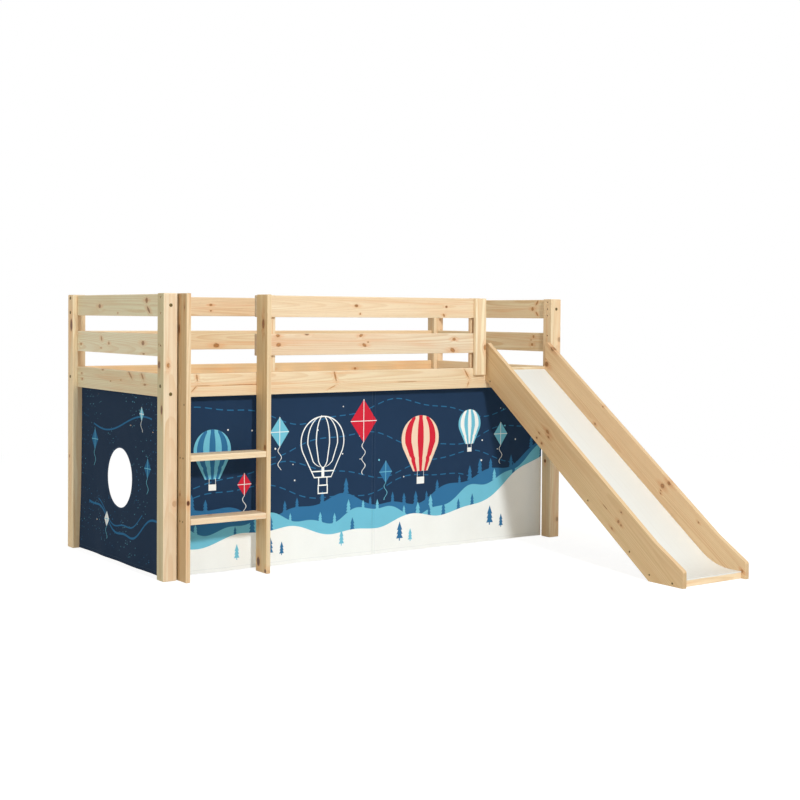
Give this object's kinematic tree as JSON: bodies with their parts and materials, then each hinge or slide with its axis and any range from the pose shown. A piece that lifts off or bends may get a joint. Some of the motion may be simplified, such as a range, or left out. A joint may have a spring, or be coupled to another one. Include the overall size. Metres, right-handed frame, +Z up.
{
  "type": "loft bed with slide",
  "caption": "Mid-height loft bed in pale pine with guard rails, a ladder, a white slide between wooden cheeks and play curtains.",
  "frame": {"origin": "on the floor, at the centre of the footprint of the bed and its slide", "axes": "+X from the ladder end to the slide end, +Y from the front, where the slide reaches out, to the back, +Z up"},
  "size_m": [2.08, 2.206, 1.14],
  "materials": {
    "pine": "clear lacquered knotty pine",
    "slide_pine": "clear lacquered knotty pine, in a slightly darker board",
    "slat_pine": "planed pine, bare",
    "white_laminate": "smooth satin white",
    "printed_cotton": "printed cotton, dark blue with a pale landscape along the hem",
    "bronzed_steel": "dark bronzed, half matt"
  },
  "bodies": {
    "root": {"post_front_left": "pine", "post_front_right": "pine", "post_rear_left": "pine", "post_rear_right": "pine", "left_end_top_rail": "pine", "left_end_middle_rail": "pine", "left_end_lower_rail": "pine", "right_end_top_rail": "pine", "right_end_middle_rail": "pine", "right_end_lower_rail": "pine", "front_side_rail": "pine", "rear_side_rail": "pine", "rear_guard_top_rail": "pine", "rear_guard_middle_rail": "pine", "front_guard_top_rail": "pine", "front_guard_middle_rail": "pine", "front_guard_left_cleat": "pine", "front_guard_right_cleat": "pine", "front_guard_outer_post": "pine", "front_slat_ledger": "pine", "rear_slat_ledger": "pine", "ladder_left_upright": "slide_pine", "ladder_right_upright": "slide_pine", "ladder_lower_rung": "slide_pine", "ladder_upper_rung": "slide_pine", "slide_left_cheek": "slide_pine", "slide_right_cheek": "slide_pine", "slide_top_batten": "slide_pine", "slide_upper_batten": "slide_pine", "slide_lower_batten": "slide_pine", "slide_bend_batten": "slide_pine", "slide_toe_bar": "slide_pine", "slide_surface": "white_laminate", "bed_slat_01": "slat_pine", "bed_slat_02": "slat_pine", "bed_slat_03": "slat_pine", "bed_slat_04": "slat_pine", "bed_slat_05": "slat_pine", "bed_slat_06": "slat_pine", "bed_slat_07": "slat_pine", "bed_slat_08": "slat_pine", "bed_slat_09": "slat_pine", "bed_slat_10": "slat_pine", "bed_slat_11": "slat_pine", "bed_slat_12": "slat_pine", "curtain_front_left": "printed_cotton", "curtain_front_right": "printed_cotton", "curtain_left_end": "printed_cotton", "bolt_left_end_top": "bronzed_steel", "bolt_left_end_lower": "bronzed_steel", "bolt_right_end_top": "bronzed_steel", "bolt_front_side_rail": "bronzed_steel", "bolt_rear_side_rail": "bronzed_steel", "bolt_rear_guard_upper": "bronzed_steel", "bolt_rear_guard_lower": "bronzed_steel", "slide_screw_1": "bronzed_steel", "slide_screw_2": "bronzed_steel", "slide_screw_3": "bronzed_steel", "slide_screw_4": "bronzed_steel", "slide_screw_5": "bronzed_steel"}
  },
  "joints": []
}
